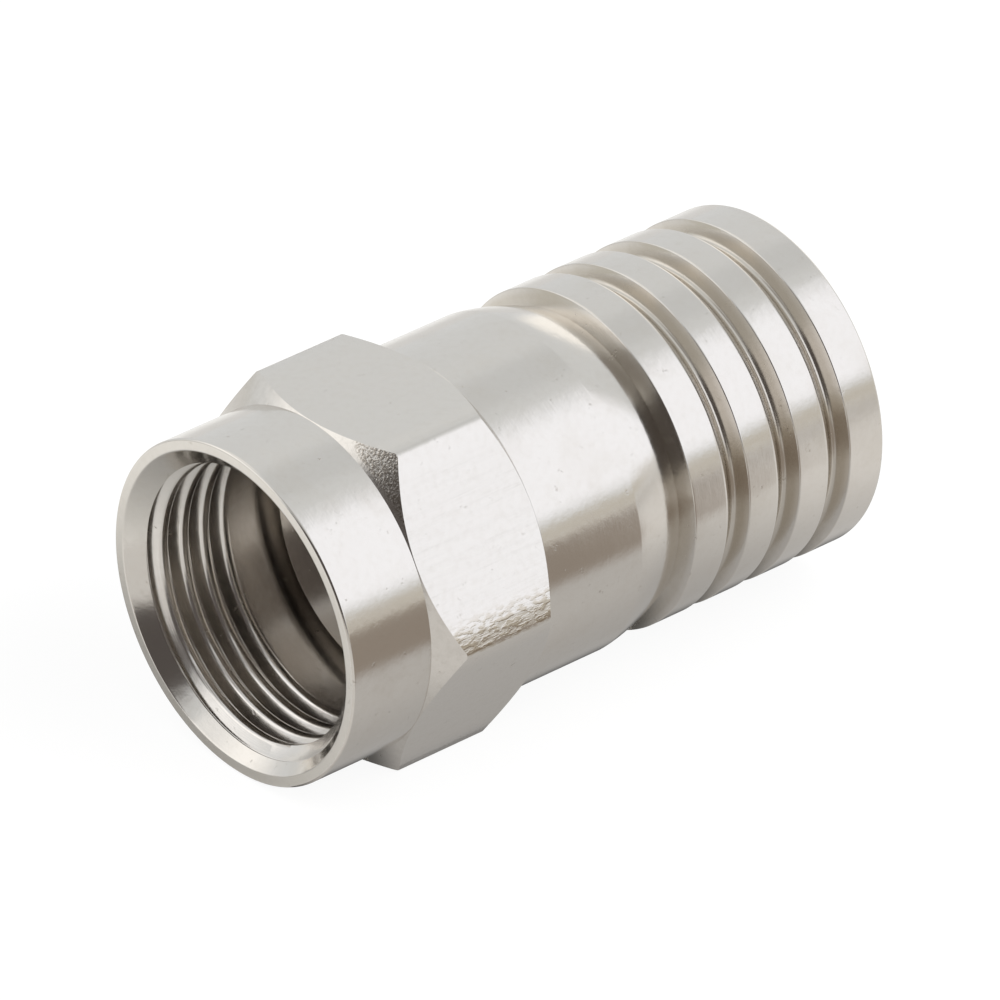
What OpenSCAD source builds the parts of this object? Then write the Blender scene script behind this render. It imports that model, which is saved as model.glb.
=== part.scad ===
// F-type coaxial plug, crimp-on, lying on one flat of its coupling nut.
// Distances along the axis run back from the plane of the nut's mouth.
// The origin is the middle of the inner post's front face, with +X out of the mouth.

/* [Coupling nut] */
// Width across the flats of the hexagon
hex_af = 11; // [11:0.05:11.5]
// Diameter of the round nose ahead of the hexagon
nose_d = 10.96; // [10.7:0.02:11]
// Length of the round nose, from the mouth to the hexagon
nose_len = 2.98; // [2.6:0.02:3.6]
// Length of the whole nut, from its mouth to its rear face
nut_len = 7.56; // [7.2:0.02:8.8]
// Slope of the hexagon's end chamfers, from the axis
hex_chamfer_angle = 51; // [45:1:60]
// Diameter of the mouth's countersink at the front face
mouth_d = 10.24; // [9.9:0.02:10.5]
// Included angle of the countersink
mouth_angle = 90; // [80:5:120]
// Minor diameter of the 3/8-32 thread, where the crests stand
thread_minor_d = 8.8; // [8.75:0.01:8.86]
// Depth at which the thread ends in the undercut
thread_end = 3.5; // [3:0.05:4.2]
// Diameter of the undercut chamber behind the thread
undercut_d = 9.8; // [9.6:0.05:10]
// Thickness of the inner lip that the flange holds
lip_len = 1.4; // [1:0.05:1.8]

/* [Inner post] */
// Diameter of the flange, which drops in past the thread
flange_d = 8.66; // [8.2:0.02:8.7]
// Thickness of the flange
flange_len = 0.8; // [0.5:0.05:1]
// Diameter of the barrel that the nut turns on and the sleeve is pressed on
barrel_d = 7.2; // [6.8:0.05:7.6]
// Outer diameter of the tube that goes under the cable's braid
tube_d = 5.7; // [5.5:0.05:5.9]
// Bore for the cable's insulation
post_bore_d = 4.9; // [4.7:0.02:5]
// Diameter over the barbs
barb_d = 6.2; // [6:0.05:6.5]
// Length of one barb's ramp
barb_len = 0.9; // [0.6:0.05:1.1]
// Distance from one barb to the next
barb_pitch = 1.3; // [1.15:0.05:1.8]
// Number of barbs
barb_count = 2; // [1:1:3]
// Plain length behind the last barb
tail_len = 0.4; // [0.2:0.05:1]
// Distance that the post stops short of the sleeve's rear end
post_setback = 1; // [0.2:0.1:3]

/* [Crimp sleeve] */
// Diameter of the plain collar next to the nut
collar_d = 10.98; // [10.8:0.02:11]
// Length of the plain collar
collar_len = 3.58; // [2.8:0.02:5]
// Length of the crowned shoulder behind the collar
shoulder_len = 1.76; // [1.4:0.02:2]
// Slope at which the shoulder leaves the collar
shoulder_start_angle = 6; // [0:1:8]
// Diameter of the neck between the shoulder and the first ring
neck_d = 9.94; // [9.8:0.02:10.2]
// Length of the neck, its rear wall included
neck_len = 0.4; // [0.36:0.02:1]
// Diameter over the rings
ring_d = 10.94; // [10.8:0.02:11]
// Number of rings
ring_count = 4; // [2:1:6]
// Distance from one ring to the next
ring_pitch = 2.01; // [1.6:0.01:2.4]
// Length of the first ring
ring_first_len = 1.27; // [0.8:0.01:2]
// Length of the last ring
ring_last_len = 1.37; // [0.8:0.01:2]
// Width of a groove at its top
groove_w = 0.88; // [0.84:0.01:1]
// Depth of a groove
groove_depth = 0.5; // [0.4:0.01:0.52]
// Slope of a groove's front flank, from the axis
groove_flank_angle = 45; // [43:1:55]
// Lean of the rear walls of the neck and grooves, from upright
wall_lean_angle = 20; // [10:1:22]
// Bore for the cable's jacket
cable_bore_d = 8.3; // [8:0.05:8.5]
// Length of the thick front wall that grips the post's barrel
web_len = 2; // [1.4:0.1:3]
// Chamfer where the cable goes in
entry_chamfer = 0.3; // [0.1:0.05:0.5]

/* [Fits and edges] */
// Radial clearance between the nut's lip and the post's barrel
nut_clearance = 0.05; // [0.02:0.01:0.1]
// Axial clearance on each side of the nut's lip
end_play = 0.05; // [0.03:0.01:0.1]
// Small chamfer on turned outer edges
edge_break = 0.08; // [0.04:0.01:0.15]

/* [Hidden] */
$fn = 96;
arc_steps = 8;
cut_margin = 1;

nose_r = nose_d / 2;
thread_r = thread_minor_d / 2;
undercut_r = undercut_d / 2;
flange_r = flange_d / 2;
barrel_r = barrel_d / 2;
tube_r = tube_d / 2;
post_bore_r = post_bore_d / 2;
collar_r = collar_d / 2;
neck_r = neck_d / 2;
ring_r = ring_d / 2;
cable_bore_r = cable_bore_d / 2;

hex_corner_r = hex_af / 2 / cos(30);
hex_chamfer_len = (hex_corner_r - nose_r) / tan(hex_chamfer_angle);
mouth_depth = (mouth_d - thread_minor_d) / 2 / tan(mouth_angle / 2);
lip_front = nut_len - lip_len;
flange_back = lip_front - end_play;
flange_front = flange_back - flange_len;

sleeve_front = nut_len + end_play;
web_end = sleeve_front + web_len;
shoulder_front = sleeve_front + collar_len;
neck_front = shoulder_front + shoulder_len;
ring_front = neck_front + neck_len;
groove_floor_r = ring_r - groove_depth;
groove_fronts = [for (i = [0 : ring_count - 2]) ring_front + ring_first_len + i * ring_pitch];
sleeve_end = groove_fronts[ring_count - 2] + groove_w + ring_last_len;
post_end = sleeve_end - post_setback;

// Radius of the round-nosed tool that meets the flank, the floor and the rear wall of a groove
tool_r = (groove_w - groove_depth * (1 / tan(groove_flank_angle) + tan(wall_lean_angle)))
    / (1 / sin(groove_flank_angle) + 1 / cos(wall_lean_angle)
        - 1 / tan(groove_flank_angle) - tan(wall_lean_angle));

// Points of an arc in a [radius, distance] section
function arc_points(centre, r, from, to) =
    [for (i = [0 : arc_steps]) let (a = from + (to - from) * i / arc_steps)
        centre + r * [cos(a), sin(a)]];

// Crowned curve between two points, leaving the first at the given slope
function crown_points(start, end, start_angle) =
    let (
        chord = end - start,
        chord_angle = atan2(-chord[0], chord[1]),
        r = norm(chord) / 2 / sin(chord_angle - start_angle),
        centre = start - r * [cos(start_angle), sin(start_angle)]
    )
    arc_points(centre, r, start_angle, 2 * chord_angle - start_angle);

// Rounded foot and leaning rear wall of a groove, up to its top edge
function wall_points(wall_top, top_r, floor_r, from) =
    let (
        rise = top_r - floor_r - tool_r,
        centre = [floor_r + tool_r,
            wall_top - rise * tan(wall_lean_angle) - tool_r / cos(wall_lean_angle)]
    )
    concat(arc_points(centre, tool_r, from, 90 + wall_lean_angle), [[top_r, wall_top]]);

// Turns a section about the axis
module turned(section) {
    rotate_extrude()
        polygon(section);
}

// Lays a part along X, with the post's front face at the origin
module laid_down() {
    translate([flange_front, 0, 0])
        rotate([0, -90, 0])
            children();
}

// Hexagon with a flat underneath and both ends chamfered
module hexagon() {
    intersection() {
        translate([0, 0, nose_len])
            rotate([0, 0, 30])
                cylinder(r = hex_corner_r, h = nut_len - nose_len, $fn = 6);
        turned([
            [0, nose_len],
            [nose_r, nose_len],
            [hex_corner_r, nose_len + hex_chamfer_len],
            [hex_corner_r, nut_len - hex_chamfer_len],
            [nose_r, nut_len],
            [0, nut_len]
        ]);
    }
}

// Round nose, carried into the hexagon so that the two are one piece
module nose() {
    turned([
        [0, 0],
        [nose_r - edge_break, 0],
        [nose_r, edge_break],
        [nose_r, nose_len + hex_chamfer_len],
        [0, nose_len + hex_chamfer_len]
    ]);
}

// Countersink, thread bore, undercut chamber and running bore
module nut_bore() {
    turned([
        [0, -cut_margin],
        [mouth_d / 2 + cut_margin * tan(mouth_angle / 2), -cut_margin],
        [thread_r, mouth_depth],
        [thread_r, thread_end],
        [undercut_r, thread_end],
        [undercut_r, lip_front],
        [barrel_r + nut_clearance, lip_front],
        [barrel_r + nut_clearance, nut_len + cut_margin],
        [0, nut_len + cut_margin]
    ]);
}

module coupling_nut() {
    color("silver")
        laid_down()
            difference() {
                union() {
                    nose();
                    hexagon();
                }
                nut_bore();
            }
}

module inner_post() {
    barb_tops = [for (i = [barb_count : -1 : 1]) post_end - tail_len - barb_len - (i - 1) * barb_pitch];
    color("gainsboro")
        laid_down()
            turned(concat(
                [
                    [post_bore_r, flange_front],
                    [flange_r - edge_break, flange_front],
                    [flange_r, flange_front + edge_break],
                    [flange_r, flange_back],
                    [barrel_r, flange_back],
                    [barrel_r, web_end],
                    [tube_r, web_end + barrel_r - tube_r]
                ],
                [for (top = barb_tops, p = [[tube_r, top], [barb_d / 2, top], [tube_r, top + barb_len]]) p],
                [
                    [tube_r, post_end - edge_break],
                    [tube_r - edge_break, post_end],
                    [post_bore_r, post_end]
                ]
            ));
}

module crimp_sleeve() {
    color("lightgray")
        laid_down()
            turned(concat(
                [
                    [barrel_r, sleeve_front],
                    [collar_r - edge_break, sleeve_front],
                    [collar_r, sleeve_front + edge_break]
                ],
                crown_points([collar_r, shoulder_front], [neck_r, neck_front], shoulder_start_angle),
                wall_points(ring_front, ring_r, neck_r, 180),
                [for (front = groove_fronts, p = concat(
                    [[ring_r, front]],
                    wall_points(front + groove_w, ring_r, groove_floor_r, 180 + groove_flank_angle)
                )) p],
                [
                    [ring_r, sleeve_end - edge_break],
                    [ring_r - edge_break, sleeve_end],
                    [cable_bore_r + entry_chamfer, sleeve_end],
                    [cable_bore_r, sleeve_end - entry_chamfer],
                    [cable_bore_r, web_end],
                    [barrel_r, web_end]
                ]
            ));
}

coupling_nut();
inner_post();
crimp_sleeve();
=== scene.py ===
# %% [markdown]
# # A crimp-on plug for coaxial cable
#
# The plug is nickel-plated brass and has three turned parts. A coupling nut spins at the front, an
# inner post runs through the middle, and a ringed crimp sleeve is pressed on the post at the back.
# It lies on one flat of its nut. The frame gives the solids and how they move. This lesson gives
# each of them its real surface: a cut thread, milled flats, rolled-over edges and plated metal.

# %% Load the frame
import math

import bmesh
import bpy
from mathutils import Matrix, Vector


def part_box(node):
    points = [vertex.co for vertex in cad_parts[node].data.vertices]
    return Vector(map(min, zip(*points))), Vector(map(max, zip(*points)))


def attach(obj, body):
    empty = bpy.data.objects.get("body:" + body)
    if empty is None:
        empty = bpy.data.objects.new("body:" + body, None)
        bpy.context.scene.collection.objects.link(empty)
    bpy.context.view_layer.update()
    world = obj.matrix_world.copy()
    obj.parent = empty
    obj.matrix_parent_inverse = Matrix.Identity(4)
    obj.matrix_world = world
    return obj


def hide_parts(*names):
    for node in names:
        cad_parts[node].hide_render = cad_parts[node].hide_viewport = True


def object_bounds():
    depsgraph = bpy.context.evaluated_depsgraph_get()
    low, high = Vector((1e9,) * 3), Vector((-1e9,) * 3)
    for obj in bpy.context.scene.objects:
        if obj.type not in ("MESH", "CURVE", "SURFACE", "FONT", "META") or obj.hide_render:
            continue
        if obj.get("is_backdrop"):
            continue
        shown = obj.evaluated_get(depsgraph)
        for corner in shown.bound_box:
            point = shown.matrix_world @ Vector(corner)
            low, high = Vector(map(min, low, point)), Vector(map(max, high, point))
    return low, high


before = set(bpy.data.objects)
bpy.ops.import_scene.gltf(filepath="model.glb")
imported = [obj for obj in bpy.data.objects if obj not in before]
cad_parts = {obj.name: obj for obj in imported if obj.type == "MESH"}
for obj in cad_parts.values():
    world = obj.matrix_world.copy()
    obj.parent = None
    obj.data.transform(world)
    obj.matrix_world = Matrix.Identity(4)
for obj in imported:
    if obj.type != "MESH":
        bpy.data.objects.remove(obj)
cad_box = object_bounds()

MM = 0.001

# %% [markdown]
# ## Distances along the axis
#
# A turner measures from one face. Here that face is the mouth of the nut, so every place below is
# written as a depth behind the mouth and a radius, in millimetres. The axis of the plug is X, and
# the mouth is where the frame says that the nut ends.

# %% Turn a depth and a radius into a point
MOUTH_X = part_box("coupling_nut")[1].x


def at(depth, radius):
    return Vector((MOUTH_X - depth * MM, 0, radius * MM))


def depth_of(point):
    return (MOUTH_X - point.x) / MM


def radius_of(point):
    return math.hypot(point.y, point.z) / MM


print("mouth at x = %.2f mm" % (MOUTH_X / MM))

# %% [markdown]
# ## The camera
#
# A small shiny part is shot from far away with a long lens, so that its shape stays true. The
# camera stands to the front right and looks down by about a third of a right angle. Its place is
# given by two angles and a distance in millimetres from the middle of the plug, as a tripod would
# be set.

# %% Set the camera up
AZIMUTH, ELEVATION, DISTANCE, LENS = 139.136, 31.593, 405.73, 489.6
middle = (cad_box[0] + cad_box[1]) / 2
aim = middle + Vector((0.171, 0.117, -0.144)) * MM
turn, lift = math.radians(AZIMUTH), math.radians(ELEVATION)
towards_camera = Vector(
    (math.sin(turn) * math.cos(lift), -math.cos(turn) * math.cos(lift), math.sin(lift))
)
bpy.ops.object.select_all(action="DESELECT")
bpy.ops.object.camera_add(location=aim + towards_camera * DISTANCE * MM)
camera = bpy.context.object
camera.name = "camera"
camera.rotation_euler = (-towards_camera).to_track_quat("-Z", "Y").to_euler()
camera.data.lens = LENS
camera.data.sensor_width = 36
camera.data.clip_start, camera.data.clip_end = 0.01, 20
bpy.context.scene.camera = camera
bpy.context.scene.view_settings.view_transform = "Standard"
print("camera at", [round(c / MM, 1) for c in camera.location])

# %% [markdown]
# ## One way to work in edit mode
#
# Every piece starts as a single point that is drawn into an outline, stroke by stroke. For that
# the helpers select things by their place, because there is no mouse. `choose` is the hand that
# picks, and `draw_outline` is the pencil.

# %% Pick and draw
def choose(kind, test):
    """Selects only the vertices, edges or faces of the open mesh that pass a test."""
    mode = {"verts": "VERT", "edges": "EDGE", "faces": "FACE"}[kind]
    bpy.ops.mesh.select_mode(type=mode)
    bpy.ops.mesh.select_all(action="DESELECT")
    mesh = bmesh.from_edit_mesh(bpy.context.object.data)
    found = [item for item in getattr(mesh, kind) if test(item)]
    for item in found:
        item.select_set(True)
    bmesh.update_edit_mesh(bpy.context.object.data)
    return len(found)


def draw_outline(name, points):
    """Draws an open line through the points, and leaves it in edit mode."""
    bpy.ops.object.select_all(action="DESELECT")
    bpy.ops.mesh.primitive_plane_add(size=MM)
    bpy.context.object.name = bpy.context.object.data.name = name
    bpy.ops.object.mode_set(mode="EDIT")
    bpy.ops.mesh.select_mode(type="VERT")
    bpy.ops.mesh.select_all(action="SELECT")
    bpy.ops.mesh.merge(type="CENTER")
    bpy.ops.transform.translate(value=points[0])
    for start, end in zip(points, points[1:]):
        bpy.ops.mesh.extrude_region_move(TRANSFORM_OT_translate={"value": end - start})
    return bpy.context.object


def join_ends():
    """Closes the open line of the mesh in edit mode."""
    choose("verts", lambda v: len(v.link_edges) == 1)
    bpy.ops.mesh.edge_face_add()


def round_corners(corners, segments):
    """Rounds the corners of an outline that are (depth, radius, how far the rounding reaches)."""
    for reach in sorted({c[2] for c in corners if len(c) > 2}, reverse=True):
        places = [at(*c[:2]) for c in corners if c[2:] == (reach,)]
        choose("verts", lambda v: any((v.co - p).length < 1e-7 for p in places))
        bpy.ops.mesh.bevel(
            offset=reach * MM, segments=segments(reach), affect="VERTICES", profile=0.5
        )


print("helpers: choose, draw_outline, join_ends, round_corners")

# %% [markdown]
# ## Turning
#
# Nut, post and sleeve all come off a lathe. A lathe sweeps one outline round the axis, and the
# spin tool does the same. A fine step matters here: plated metal mirrors the studio, and coarse
# steps would show as facets in the reflections. One degree a step is enough.
#
# Smooth shading blends the directions of the faces that meet at a point. On a long straight side
# that ends in a small rounding, the blend would bend the reflections of the whole side. So every
# long side gets a guard point just short of each end, which keeps the blend in a narrow strip.

# %% Guard the long sides
GUARD = 0.02


def with_guards(corners, closed=True):
    """Adds guard points to the long sides of an outline of (depth, radius[, rounding]) corners."""
    guarded = []
    for start, end in zip(corners, corners[1:] + corners[:1] if closed else corners[1:]):
        guarded.append(start)
        length = math.dist(start[:2], end[:2])
        first, last = [sum(c[2:]) + GUARD for c in (start, end)]
        if length > first + last + GUARD:
            for way in (first / length, 1 - last / length):
                guarded.append(tuple(a + (b - a) * way for a, b in zip(start[:2], end[:2])))
    return guarded if closed else guarded + [corners[-1]]


print("guards stand %.2f mm from the ends" % GUARD)

# %% Spin an outline round the axis
SPIN_STEPS = 360
SHARP = math.radians(26)


def turn_piece(name, corners):
    """Spins the closed outline (depth, radius[, rounding]) round X and leaves it in edit mode."""
    corners = with_guards(corners)
    piece = draw_outline(name, [at(*c[:2]) for c in corners])
    join_ends()
    round_corners(corners, lambda reach: 12 if reach > 0.5 else 8 if reach > 0.2 else 4)
    bpy.ops.mesh.select_all(action="SELECT")
    bpy.ops.mesh.remove_doubles(threshold=1e-7)
    bpy.ops.mesh.spin(steps=SPIN_STEPS, angle=2 * math.pi, center=(0, 0, 0), axis=(1, 0, 0))
    bpy.ops.mesh.select_all(action="SELECT")
    bpy.ops.mesh.remove_doubles(threshold=1e-7)
    bpy.ops.mesh.normals_make_consistent(inside=False)
    return piece


def finish_piece(piece, body, slot, *nodes):
    """Shades the piece smooth except at sharp edges, and hands it to the frame."""
    bpy.ops.object.mode_set(mode="OBJECT")
    bpy.ops.object.shade_smooth_by_angle(angle=SHARP)
    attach(piece, body)
    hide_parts(*nodes)
    print(piece.name, "has", len(piece.data.polygons), "faces")


print("one step is %.1f degrees" % (360 / SPIN_STEPS))

# %% [markdown]
# ## The crimp sleeve
#
# The sleeve is the long back part. A plain collar comes first, then a crowned shoulder that runs
# down into a neck, then four rings with grooves between them. A crimping tool squeezes the rings
# on the cable. A groove is cut by a round-nosed tool: its front side slopes, its foot is round
# and its back wall leans only a little. In the outline each groove is a plain V whose bottom
# corner is rounded, and the spin makes the rest.

# %% Turn the sleeve
BARREL_R, COLLAR_R, RING_R, CABLE_R = 3.6, 5.49, 5.47, 4.15
SLEEVE_FRONT, WEB_END = 7.57, 9.61
GROOVES = [14.62 + 2.01 * i for i in range(3)]
sleeve_outline = [
    (SLEEVE_FRONT, BARREL_R, 0.05), (SLEEVE_FRONT, COLLAR_R, 0.005), (11.19, COLLAR_R),
    (12.16, 5.388, 0.95), (13.15, 4.935), (13.35, RING_R, 0.025),
]
for front in GROOVES:
    foot = front + 0.645
    sleeve_outline += [
        (front, RING_R, 0.06), (foot, RING_R - 0.645, 0.279), (front + 0.88, RING_R, 0.025),
    ]
sleeve_outline += [
    (20.81, RING_R, 0.03), (20.89, RING_R - 0.08, 0.03), (20.89, CABLE_R + 0.3, 0.04),
    (20.59, CABLE_R, 0.04), (WEB_END, CABLE_R, 0.05), (WEB_END, BARREL_R, 0.05),
]
sleeve = turn_piece("plated_sleeve", sleeve_outline)
finish_piece(sleeve, "connector_body", "sleeve_nickel", "crimp_sleeve")

# %% [markdown]
# ## The inner post
#
# The post is a tube with a flange at its front. The flange holds the nut, the barrel carries the
# nut and the sleeve, and the thin tube with two barbs goes under the braid of the cable. Most of
# it hides in the sleeve, but the flange shows in the nut's mouth and the barbs show from behind.

# %% Turn the post
TUBE_R, POST_BORE_R, FLANGE_R = 2.85, 2.45, 4.33
post_outline = [
    (5.31, POST_BORE_R, 0.08), (5.31, FLANGE_R - 0.08, 0.03), (5.39, FLANGE_R, 0.03),
    (6.11, FLANGE_R, 0.03), (6.11, BARREL_R, 0.03), (WEB_END, BARREL_R, 0.03), (10.36, TUBE_R, 0.1),
]
for barb in (17.29, 18.59):
    post_outline += [(barb, TUBE_R), (barb, 3.1, 0.04), (barb + 0.9, TUBE_R)]
post_outline += [
    (19.81, TUBE_R, 0.03), (19.89, TUBE_R - 0.08, 0.03), (19.89, POST_BORE_R, 0.06),
]
post = turn_piece("plated_post", post_outline)
finish_piece(post, "connector_body", "post_nickel", "inner_post")

# %% [markdown]
# ## The coupling nut, turned first
#
# The nut starts as a turned blank a little bigger than the hexagon's corners, with a round nose
# and both ends chamfered. Its bore has a countersunk mouth, a narrow hole for the thread, a wider
# chamber behind it and a lip that the post's flange holds.

# %% Turn the blank
NOSE_R, CREST_R, CHAMBER_R, LIP_R, HALF_FLAT = 5.48, 4.4, 4.9, 3.65, 5.5
NUT_REAR, LIP_FRONT, THREAD_END = 7.56, 6.16, 3.5
BLANK_R, TAP_HOLE_R = 6.44, 4.3
nut_outline = [
    (0, 5.12, 0.03), (0, NOSE_R - 0.05, 0.02), (0.05, NOSE_R, 0.02), (2.98, NOSE_R),
    (3.757, BLANK_R), (6.783, BLANK_R), (NUT_REAR, HALF_FLAT), (NUT_REAR, LIP_R, 0.05),
    (LIP_FRONT, LIP_R, 0.05), (LIP_FRONT, CHAMBER_R, 0.15), (THREAD_END, CHAMBER_R, 0.05),
    (THREAD_END, TAP_HOLE_R), (0.82, TAP_HOLE_R),
]
nut = turn_piece("plated_nut", nut_outline)
blank = bmesh.from_edit_mesh(nut.data)
print("blank reaches a radius of %.2f mm" % max(radius_of(v.co) for v in blank.verts))

# %% [markdown]
# ## The flats
#
# A real nut is turned from hexagonal bar. Cutting six flats off a round blank leaves the same
# shape, and the chamfers come out as the right curves by themselves. Bisect does it: it cuts the
# mesh along a plane, throws the outside away and closes the cut.

# %% Cut six flats
for side in range(6):
    angle = math.radians(60 * side)
    out = Vector((0, math.sin(angle), math.cos(angle)))
    bpy.ops.mesh.select_all(action="SELECT")
    bpy.ops.mesh.bisect(
        plane_co=out * HALF_FLAT * MM, plane_no=out, use_fill=True, clear_outer=True, threshold=1e-8
    )


def is_flat(face):
    """A flat faces straight out and lies just beyond the nose."""
    centre = face.calc_center_median()
    return abs(face.normal.x) < 0.01 and radius_of(centre) > NOSE_R + 0.01 and len(face.verts) > 8


print("flats:", choose("faces", is_flat))

# %% [markdown]
# The corners of the hexagon are not knife-sharp: drawn bar comes with corners rounded to about a
# third of a millimetre. A bevel of the six long edges rounds them.

# %% Break the hexagon's corners
def is_corner(edge):
    a, b = edge.verts
    long_enough = abs(a.co.x - b.co.x) > 1.5 * MM
    return long_enough and radius_of(a.co) > 6.3 and radius_of(b.co) > 6.3


print("corners:", choose("edges", is_corner))
bpy.ops.mesh.bevel(offset=0.17 * MM, segments=7, affect="EDGES", profile=0.5)

# %% [markdown]
# ## The thread
#
# The nut takes a 3/8-32 thread: 32 turns to the inch, right-handed, with 60 degree flanks. A
# machinist cuts it with a tap. So a tap is made here: one tooth is drawn, and the screw modifier
# winds it along the axis. The tap cuts both the grooves and the crests, so that the thread has
# one clean surface. Both its ends are closed with a fan of faces, which stay in the open air.

# %% Make the tap
PITCH, ROOT_R, TURNS, TAP_START = 25.4 / 32, 4.81, 6, -0.35
CREST_ROUNDING, ROOT_ROUNDING = 0.09, 0.02
flank = (ROOT_R - CREST_R) * math.tan(math.radians(30))
root_flat = PITCH / 14
crest_flat = PITCH - 2 * flank - root_flat
tooth = [
    (0, CREST_R),
    (crest_flat / 2, CREST_R, CREST_ROUNDING),
    (crest_flat / 2 + flank, ROOT_R, ROOT_ROUNDING),
    (crest_flat / 2 + flank + root_flat, ROOT_R, ROOT_ROUNDING),
    (PITCH - crest_flat / 2, CREST_R, CREST_ROUNDING),
    (PITCH, CREST_R),
]
tooth = [(TAP_START + depth, radius, *rest) for depth, radius, *rest in tooth]
tooth = with_guards(tooth, closed=False)
bpy.ops.object.mode_set(mode="OBJECT")
tap = draw_outline("tap", [at(*c[:2]) for c in tooth])
round_corners(tooth, lambda reach: 5 if reach == CREST_ROUNDING else 3)
bpy.ops.object.mode_set(mode="OBJECT")
bpy.ops.object.modifier_add(type="SCREW")
screw = tap.modifiers[-1]
screw.axis, screw.angle, screw.iterations = "X", -2 * math.pi, TURNS
screw.screw_offset = -PITCH * MM
screw.steps = screw.render_steps = 240
screw.use_merge_vertices, screw.merge_threshold = True, 1e-7
bpy.ops.object.modifier_apply(modifier=screw.name)
bpy.ops.object.mode_set(mode="EDIT")
bpy.ops.mesh.select_all(action="SELECT")
bpy.ops.mesh.remove_doubles(threshold=1e-7)
middle_depth = TAP_START + PITCH * (TURNS + 1) / 2
for front in (True, False):
    choose("edges", lambda e: e.is_boundary and (depth_of(e.verts[0].co) < middle_depth) == front)
    bpy.ops.mesh.extrude_region_move()
    bpy.ops.mesh.merge(type="CENTER")
bpy.ops.mesh.select_all(action="SELECT")
bpy.ops.mesh.normals_make_consistent(inside=False)
open_edges = choose("edges", lambda e: len(e.link_faces) != 2)
bpy.ops.object.mode_set(mode="OBJECT")
print("tap has", len(tap.data.polygons), "faces and", open_edges, "open edges")

# %% Cut the thread
bpy.ops.object.select_all(action="DESELECT")
bpy.context.view_layer.objects.active = nut
nut.select_set(True)
bpy.ops.object.modifier_add(type="BOOLEAN")
cut = nut.modifiers[-1]
cut.operation, cut.solver, cut.object = "DIFFERENCE", "EXACT", tap
bpy.ops.object.modifier_apply(modifier=cut.name)
bpy.data.objects.remove(tap)
bpy.ops.object.mode_set(mode="EDIT")
bpy.ops.mesh.select_all(action="SELECT")
bpy.ops.mesh.remove_doubles(threshold=1e-8)
print("open edges after the cut:", choose("edges", lambda e: len(e.link_faces) != 2))

# %% [markdown]
# A flat has only its outline and no room for guard points. So its edges are marked sharp, which
# keeps the flat out of the blend.

# %% Keep the flats flat
print("edges of the flats:", choose("edges", lambda e: any(is_flat(f) for f in e.link_faces)))
bpy.ops.mesh.mark_sharp()
finish_piece(nut, "nut", "nut_nickel", "coupling_nut")

# %% [markdown]
# ## Writing a finish as sums
#
# A procedural finish is a chain of small sums on the place of each point. Blender draws a sum as
# a Math node, so `Amount` wraps a node's output and lets the sum be written as Python. `Nodes`
# holds a tree and adds any other node by its type, its settings and its inputs. `Finish` is the
# tree of one material.

# %% Wrap the nodes
class Amount:
    """A number that varies over the surface; sums on it add Math nodes."""

    def __init__(self, finish, socket):
        self.finish, self.socket = finish, socket

    def sum(self, operation, *others):
        values = dict(enumerate((self, *others)))
        return self.finish.node("ShaderNodeMath", {"operation": operation}, values)

    def __add__(self, other):
        return self.sum("ADD", other)

    def __sub__(self, other):
        return self.sum("SUBTRACT", other)

    def __mul__(self, other):
        return self.sum("MULTIPLY", other)

    def __pow__(self, other):
        return self.sum("POWER", other)

    def __rsub__(self, other):
        return (self * -1) + other

    __radd__, __rmul__ = __add__, __mul__

    def step(self, low, high):
        """0 below low, 1 above high, smooth in between; low above high turns it round."""
        smooth = {"interpolation_type": "SMOOTHSTEP"}
        limits = {"Value": self, "From Min": low, "From Max": high}
        return self.finish.node("ShaderNodeMapRange", smooth, limits)


class Nodes:
    """A tree of shader nodes."""

    def __init__(self, owner):
        owner.use_nodes = True
        self.tree = owner.node_tree

    def put(self, socket, value):
        """Links an amount to an input, or sets the input to a plain value."""
        if isinstance(value, Amount):
            self.tree.links.new(value.socket, socket)
        else:
            socket.default_value = value

    def node(self, kind, settings=None, inputs=None, output=0):
        """Adds a node: settings first, then the value or link of each input."""
        new = self.tree.nodes.new(kind)
        for key, value in (settings or {}).items():
            setattr(new, key, value)
        for key, value in (inputs or {}).items():
            self.put(new.inputs[key], value)
        return Amount(self, new.outputs[output])

    def seen_by(self, *kinds):
        """1 for rays of the given kinds, such as Camera or Glossy, and 0 for the others."""
        rays = [self.node("ShaderNodeLightPath", output="Is %s Ray" % kind) for kind in kinds]
        seen = rays[0]
        for ray in rays[1:]:
            seen = seen.sum("MAXIMUM", ray)
        return seen


class Finish(Nodes):
    """One material and its main shader."""

    def __init__(self, name):
        self.material = bpy.data.materials.new(name)
        super().__init__(self.material)
        self.shader = self.tree.nodes["Principled BSDF"]

    def feed(self, **inputs):
        """Sets or links the shader's own inputs; underscores stand for spaces."""
        for key, value in inputs.items():
            self.put(self.shader.inputs[key.replace("_", " ")], value)


print("helpers: Amount, Nodes, Finish")

# %% [markdown]
# ## Nickel plate
#
# Bright nickel is a pale grey metal with a touch of yellow. It copies the skin of the brass
# under it: fine rings where a lathe tool went round, long scratches where bar was drawn, a soft
# waviness from polishing, and shallow pits everywhere. So all the finishes share one plate and
# differ in their marks. Heights are in millimetres, and real ones: a wave of one hundredth
# already makes the edge of a reflection ragged.

# %% The plate and its marks
PLATE, PLATE_WORN = (0.71, 0.675, 0.625, 1), (0.62, 0.57, 0.50, 1)
# The bore's colours are lighter and warmer than the plate: partly a thinner plate, partly painted
# light for the light that bounces round inside the bore.
INNER, INNER_WORN = (0.765, 0.73, 0.685, 1), (0.68, 0.63, 0.57, 1)
# The brown below is laid on real marks of one flat, and as painted shade in the sleeve's hollows.
PIT, STAIN_AND_SHADE = (0.42, 0.38, 0.33, 1), (0.50, 0.44, 0.35, 1)


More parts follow.
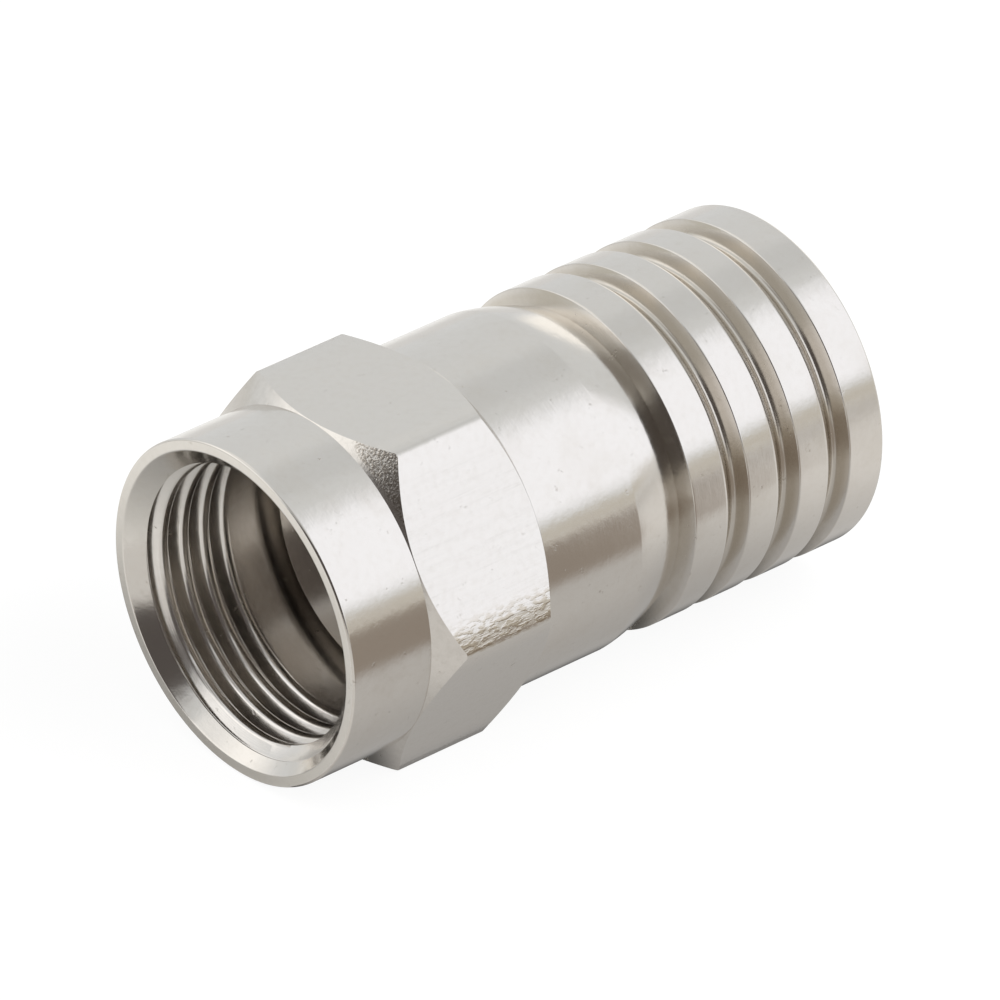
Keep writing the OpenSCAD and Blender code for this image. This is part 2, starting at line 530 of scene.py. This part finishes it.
def place_mm(finish, stretch=(1, 1, 1)):
    """The point's own place in millimetres, squeezed or stretched."""
    place = finish.node("ShaderNodeTexCoord", output="Object")
    scale = tuple(c / MM for c in stretch)
    return finish.node("ShaderNodeVectorMath", {"operation": "MULTIPLY"}, {0: place, 1: scale})


def cloud(finish, place, scale, detail=2.0, roughness=0.5):
    """A soft noise from 0 to 1, with so many lumps to the millimetre."""
    inputs = {"Vector": place, "Scale": scale, "Detail": detail, "Roughness": roughness}
    return finish.node("ShaderNodeTexNoise", None, inputs)


def mixed(finish, factor, first, second):
    """The first colour where the factor is 0, the second where it is 1."""
    inputs = {"Factor": factor, 6: first, 7: second}
    return finish.node("ShaderNodeMix", {"data_type": "RGBA"}, inputs, 2)


def place_parts(finish):
    """The three parts of the point's place, in millimetres."""
    parts = finish.node("ShaderNodeSeparateXYZ", None, {0: place_mm(finish)})
    return [Amount(finish, parts.socket.node.outputs[i]) for i in range(3)]


def along_and_radius(finish):
    """Place along the axis and distance from it, in millimetres."""
    along, across, up = place_parts(finish)
    return along, (across * across + up * up) ** 0.5


def plate(finish, height, roughness, worn, stain_and_shade=None, colours=(PLATE, PLATE_WORN), waves=0.005):
    """Colours the plate, worn in places, browned by marks and painted shade in others, and adds
    waves and pits to its height.
    """
    place = place_mm(finish)
    pits = cloud(finish, place, 2.9, 3.0).step(0.64, 0.76)
    pits = pits * cloud(finish, place, 8.0).step(0.48, 0.66)
    mottle = cloud(finish, place, 4.5, 4.0, 0.6).step(0.4, 0.75)
    tint = mixed(finish, worn + mottle * 0.16, *colours)
    colour = mixed(finish, pits * 0.6, tint, PIT)
    # Brown for real marks, and painted shade in the sleeve's hollows.
    if stain_and_shade:
        colour = mixed(finish, stain_and_shade * 0.35, colour, STAIN_AND_SHADE)
    skin = cloud(finish, place, 1.9, 4.0, 0.55) * waves
    skin = skin + cloud(finish, place, 7.0, 2.0) * (waves * 0.22)
    relief = {"Strength": 1.0, "Distance": MM, "Height": height + skin - pits * 0.003}
    roughness = roughness + pits * 0.15 + mottle * 0.04
    bump = finish.node("ShaderNodeBump", None, relief)
    finish.feed(Base_Color=colour, Metallic=1.0, Roughness=roughness, Normal=bump)
    return finish.material


print("plate colour", PLATE[:3])

# %% [markdown]
# ### Turned surfaces
#
# The lathe leaves rings. They are not evenly spaced, so a noise that only sees the depth and the
# radius draws them: it is the same all the way round, as a ring is. A tap or a boring tool tears
# the brass more than a good lathe cut, so the inside is rougher than the outside. Its colour is
# lighter and warmer: partly because the plating bath reaches into a bore less well, and partly as
# painted light for the light that bounces round inside the bore. The neck and the grooves of the
# sleeve are painted darker and browner, as painted shade in these hollows.

# %% Turned nickel, outside and inside
NECK_X = -7.8


def turned_nickel(name, ring_height, base_roughness, shaded_hollows=False, **plating):
    finish = Finish(name)
    along, radius = along_and_radius(finish)
    # Painted shade: darker and browner below the rings' radius, behind the neck.
    stain_and_shade = radius.step(5.42, 5.2) * along.step(NECK_X + 0.1, NECK_X - 0.1) if shaded_hollows else None
    lathe = {"W": along + radius, "Scale": 14.0, "Detail": 2.0}
    rings = finish.node("ShaderNodeTexNoise", {"noise_dimensions": "1D"}, lathe)
    wear = cloud(finish, place_mm(finish), 0.8, 3.0).step(0.45, 0.75)
    roughness = wear * 0.05 + base_roughness
    if stain_and_shade:
        roughness = roughness + stain_and_shade * 0.08
    return plate(finish, rings * ring_height, roughness, wear * 0.2, stain_and_shade, **plating)


turned = turned_nickel("nickel_turned", 0.0006, 0.13)
ringed = turned_nickel("nickel_ringed", 0.0006, 0.13, shaded_hollows=True)
# The bore's lighter, warmer colours are partly painted light.
bored = turned_nickel("nickel_bored", 0.0012, 0.19, colours=(INNER, INNER_WORN))
print("made", turned.name, ringed.name, "and", bored.name)

# %% [markdown]
# ### Chamfered corners
#
# The hexagon's end chamfers are cut last and fast, with a broad tool. They look a little grainy
# beside the smooth nose. One corner is torn: the tool dug in there, and only far out.

# %% Chamfered nickel
def chamfered_nickel(name):
    finish = Finish(name)
    _, across, up = place_parts(finish)
    grain = cloud(finish, place_mm(finish), 13.0, 2.0, 0.6)
    torn = along_and_radius(finish)[1].step(5.52, 5.64) * (across + up).step(7.1, 7.45)
    height = grain * (torn * 0.009 + 0.0012)
    worn = grain.step(0.42, 0.56) * torn
    return plate(finish, height, grain * 0.1 + 0.15, worn, colours=(PLATE, PIT))


chamfered = chamfered_nickel("nickel_chamfered")
print("made", chamfered.name)

# %% [markdown]
# ### Drawn flats
#
# The flats come from drawn bar. Their marks run along the axis, so the noise is stretched along
# X and fine across it. Drawing and polishing also pull each flat down a little towards its
# corners. On a flat, the distance from its middle line follows from the radius, because the flat
# stays 5.5 mm from the axis. One flat was dragged over something hard. It has coarse stained
# marks along its lower edge, which is found by the angle round the axis.

# %% Drawn nickel
def drawn_nickel(name):
    finish = Finish(name)
    _, across, up = place_parts(finish)
    radius = along_and_radius(finish)[1]
    from_middle = (radius * radius - HALF_FLAT * HALF_FLAT).sum("MAXIMUM", 0.0) ** 0.5
    edge = (from_middle - 2.25).sum("MAXIMUM", 0.0)
    angle = across.sum("ARCTAN2", up) * math.degrees(1)
    marked = angle.step(79.5, 85.5) * (across * 0.866 + up * 0.5).step(5.42, 5.49)
    scratches = cloud(finish, place_mm(finish, (0.3, 7.0, 7.0)), 1.0, 3.0, 0.6)
    coarse = cloud(finish, place_mm(finish, (0.16, 2.4, 2.4)), 1.0, 3.0, 0.6)
    speck = cloud(finish, place_mm(finish, (3.5, 9.0, 9.0)), 1.0, 2.0).step(0.42, 0.62)
    marks = speck * marked
    height = scratches * (marked * 0.006 + 0.0035) + coarse * 0.011
    height = height + marks * 0.005 - edge * edge * 0.14
    return plate(finish, height, scratches * 0.12 + 0.12, marks, marks * 1.6, waves=0.006)


drawn = drawn_nickel("nickel_drawn")
print("made", drawn.name)

# %% Give each surface its finish
def dress(piece, *materials):
    """Gives a piece its materials, and returns its faces with the radii of their corners."""
    piece.data.materials.clear()
    for material in materials:
        piece.data.materials.append(material)
    points, faces = piece.data.vertices, piece.data.polygons
    return [(face, [radius_of(points[i].co) for i in face.vertices]) for face in faces]


dress(post, bored)
for face, radii in dress(sleeve, ringed, bored):
    face.material_index = 1 if max(radii) < CABLE_R + 0.15 else 0
counts = [0, 0, 0, 0]
for face, radii in dress(nut, turned, drawn, bored, chamfered):
    flat = abs(face.normal.x) < 0.01 and min(radii) > NOSE_R + 0.005
    inside = max(radii) < CHAMBER_R + 0.05 and sum(radii) / len(radii) > TAP_HOLE_R
    chamfer = abs(face.normal.x) > 0.5 and max(radii) > NOSE_R + 0.01
    face.material_index = 1 if flat else 2 if inside else 3 if chamfer else 0
    counts[face.material_index] += 1
print("turned, drawn, bored, chamfered faces:", counts)

# %% [markdown]
# ## The table and the background
#
# The plug lies on a white table without an edge. The camera sees plain white behind it. The table
# still takes a soft shadow, so that the plug stands on something. Its colour is painted lighter
# near the plug than further out, and a painted shadow lies beside the mouth, where the nut would
# keep the light off. The metal shows all that.

# %% Floor and world
WHITE, MOUTH_SHADOW, OLIVE = (1, 1, 1, 1), (0.02, 0.02, 0.02, 1), (0.43, 0.415, 0.37, 1)
NEAR_WHITE, FAR_WHITE = (0.72, 0.72, 0.71, 1), (0.57, 0.57, 0.57, 1)
FLOOR_Z = cad_box[0].z
bpy.ops.object.select_all(action="DESELECT")
bpy.ops.mesh.primitive_plane_add(size=4, location=(0, 0, FLOOR_Z - 0.01 * MM))
floor = bpy.context.object
floor.name = "floor"
floor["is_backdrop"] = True
table = Finish("table_white")
x, y, _ = place_parts(table)
away = (x * x + y * y) ** 0.5
beside_mouth = ((x - 5) * (x - 5) + (y + 8) * (y + 8)) ** 0.5
# Painted light: the table's colour is lighter near the plug than further out.
pale = mixed(table, away.step(22, 75), NEAR_WHITE, FAR_WHITE)
# Painted shadow beside the mouth, where the nut would keep the light off.
pale = mixed(table, beside_mouth.step(12.5, 0.5) * 0.56, pale, MOUTH_SHADOW)
olive = x.step(30, 80) * (y * -1).step(30, 80)
table.feed(Base_Color=mixed(table, olive, pale, OLIVE), Roughness=0.9, Specular_IOR_Level=0.0)
glow = table.node("ShaderNodeEmission", None, {"Color": WHITE, "Strength": 1.08})
lit = Amount(table, table.shader.outputs[0])
seen = table.seen_by("Camera", "Transmission") * 0.85
mix = table.node("ShaderNodeMixShader", None, {0: seen, 1: lit, 2: glow})
table.put(table.tree.nodes["Material Output"].inputs["Surface"], mix)
floor.data.materials.append(table.material)

world = bpy.data.worlds.new("studio")
bpy.context.scene.world = world
sky = Nodes(world)
room = sky.node("ShaderNodeBackground", None, {"Color": WHITE, "Strength": 1.42})
backdrop = sky.node("ShaderNodeBackground", None, {"Color": WHITE, "Strength": 1.0})
seen = sky.seen_by("Camera", "Glossy", "Transmission")
mix = sky.node("ShaderNodeMixShader", None, {0: seen, 1: room, 2: backdrop})
sky.put(sky.tree.nodes["World Output"].inputs["Surface"], mix)
print("floor at z = %.2f mm" % (FLOOR_Z / MM))

# %% [markdown]
# ## Light for a mirror
#
# A polished cylinder shows the room, not the lamp. So the plug stands in a glowing tent of pale
# cloth, and two parts of the cloth are painted brighter, as if lamps outside lit them: a broad
# panel low at the cable's side, which gives the white band along the plug, and a smaller one at the
# left in front, which brightens the mouth. Round the camera the cloth is painted dark, as if the
# tent stood open there. White alone would make the metal look like paper: the dark round the
# camera, and the brown painted shade on the table top beyond the white sheet, give the bands their
# edges. A few small places in the cloth are painted brighter or dimmer, because the grooves, the
# shoulder and the rounded sides each look into one of them. The whole tent is painted by azimuth
# and elevation, and the table top and the sheet by distance. Only reflections see them.

# %% Tent and table top
def only_reflected(sheet, name, colour):
    """Makes a sheet glow in painted colours, and hides it from all but reflections."""
    paint = Finish(name)
    paint.feed(Base_Color=(0, 0, 0, 1), Specular_IOR_Level=0.0)
    paint.feed(Emission_Strength=1.0, Emission_Color=colour(paint))
    sheet.data.materials.append(paint.material)
    sheet.visible_camera = sheet.visible_diffuse = sheet.visible_shadow = False
    sheet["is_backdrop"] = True


def patch(paint, azimuth, elevation, inner, outer):
    """A soft round patch of cloth: 1 within the inner angle, 0 beyond the outer one, in degrees."""
    a, e = math.radians(azimuth), math.radians(elevation)
    aim_at = (math.cos(a) * math.cos(e), math.sin(a) * math.cos(e), math.sin(e))
    place = paint.node("ShaderNodeTexCoord", output="Object")
    way = paint.node("ShaderNodeVectorMath", {"operation": "NORMALIZE"}, {0: place})
    near = paint.node("ShaderNodeVectorMath", {"operation": "DOT_PRODUCT"}, {0: way, 1: aim_at}, 1)
    return near.step(math.cos(math.radians(outer)), math.cos(math.radians(inner)))


def tent_colour(paint):
    """Paints the tent by azimuth, which turns from +X to +Y, and by elevation, both in degrees."""
    x, y, z = place_parts(paint)
    azimuth = y.sum("ARCTAN2", x) * math.degrees(1)
    elevation = z.sum("ARCTAN2", (x * x + y * y) ** 0.5) * math.degrees(1)
    tan = elevation.step(9, 4) * azimuth.step(50, 64)
    low_edge = elevation + (azimuth - 124).sum("MAXIMUM", 0.0) * 0.25
    # Painted light: the cloth is painted bright where lamps outside would light it.
    panel = azimuth.step(78, 90) * azimuth.step(173, 164)
    panel = panel * low_edge.step(5.5, 15) * elevation.step(57, 49)
    left = azimuth.step(-82, -55) * azimuth.step(-10, -17)
    left = left * elevation.step(2, 22) * elevation.step(50, 30)
    # Painted shade: round the camera the cloth is painted dark.
    dark_round_camera = azimuth.step(-15, -9) * azimuth.step(90, 78)
    dark_round_camera = dark_round_camera * (elevation - azimuth * 0.25).step(38, 32)
    # Painted light and shade: a few small patches of cloth are brighter or dimmer.
    behind = patch(paint, -115, 52, 12, 16).sum("MAXIMUM", patch(paint, -152, 7, 13, 20))
    above, dull = patch(paint, 13, 58, 10, 22), patch(paint, -161, 53.5, 5, 14) * 0.55
    colour = (0.81, 0.835, 0.86, 1)
    for part, its_colour in (
        (tan, (0.68, 0.65, 0.59, 1)),
        (dull, (0.68, 0.70, 0.72, 1)),
        (panel, (1.25, 1.285, 1.38, 1)),
        (left, (1.36, 1.36, 1.36, 1)),
        (behind, (1.3, 1.28, 1.24, 1)),
        (above, (0.38, 0.37, 0.36, 1)),
        (dark_round_camera, (0.105, 0.094, 0.09, 1)),
    ):
        colour = mixed(paint, part, colour, its_colour)
    return colour


def table_colour(paint):
    """White sheet with painted light and shadow round the plug, brown painted shade beyond, and tan
    far out.
    """
    x, y, _ = place_parts(paint)
    ahead = x.step(5, 7.5)
    # Painted light: lighter ahead of the mouth and behind the sleeve than beside the plug.
    level = x.step(3, 8) * 0.17 + (x * -1).step(10, 21) * 0.27 + 0.59
    # Painted shadow near where the plug lies, but not ahead of its mouth.
    for touching, clear, loss in ((2.5, 9.5, 0.25), (2.2, 3.6, 0.75)):
        level = level * (y.step(touching, clear).sum("MAXIMUM", ahead) * loss + (1 - loss))
    # Painted shade: darker further out on the camera's side.
    level = level * (1 - y.step(15, 50) * 0.2)
    channels = {0: level, 1: level * 0.985, 2: level * 0.97}
    sheet = paint.node("ShaderNodeCombineColor", None, channels)
    # Painted shade: brown on the camera's side, where the table lies in shade.
    brown = y.step(12.5, 17) * (x + y * 0.62).step(-15, -1.8) * x.step(9, 3)
    colour = mixed(paint, brown, sheet, (0.345, 0.30, 0.26, 1))
    return mixed(paint, y.step(60, 300), colour, (0.66, 0.62, 0.54, 1))


bpy.ops.mesh.primitive_uv_sphere_add(segments=64, ring_count=32, radius=3)
tent = bpy.context.object
tent.name = "tent"
only_reflected(tent, "tent_cloth", tent_colour)

low_z = FLOOR_Z / MM + 0.02
near_corners = [(20, -3), (8, 2.2), (-60, 2.2), (-120, 60)]
far_corners = [(-280, 430), (60, 520), (500, 500), (520, -52)]
draw_outline("table_top", [Vector((x, y, low_z)) * MM for x, y in near_corners + far_corners])
bpy.ops.mesh.select_all(action="SELECT")
bpy.ops.mesh.edge_face_add()
bpy.ops.object.mode_set(mode="OBJECT")
only_reflected(bpy.context.object, "table_paint", table_colour)

# %% [markdown]
# ## Sizes
#
# Both boxes, of the solids and of the visual model, are printed in millimetres. The visual model
# has to stay inside the box of the solids.

# %% Print the sizes
bpy.context.view_layer.update()
boxes = {"cad": [list(c) for c in cad_box], "visual": [list(c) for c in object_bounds()]}
for name, (low, high) in boxes.items():
    print(name, "box in mm:", [round((b - a) / MM, 3) for a, b in zip(low, high)])
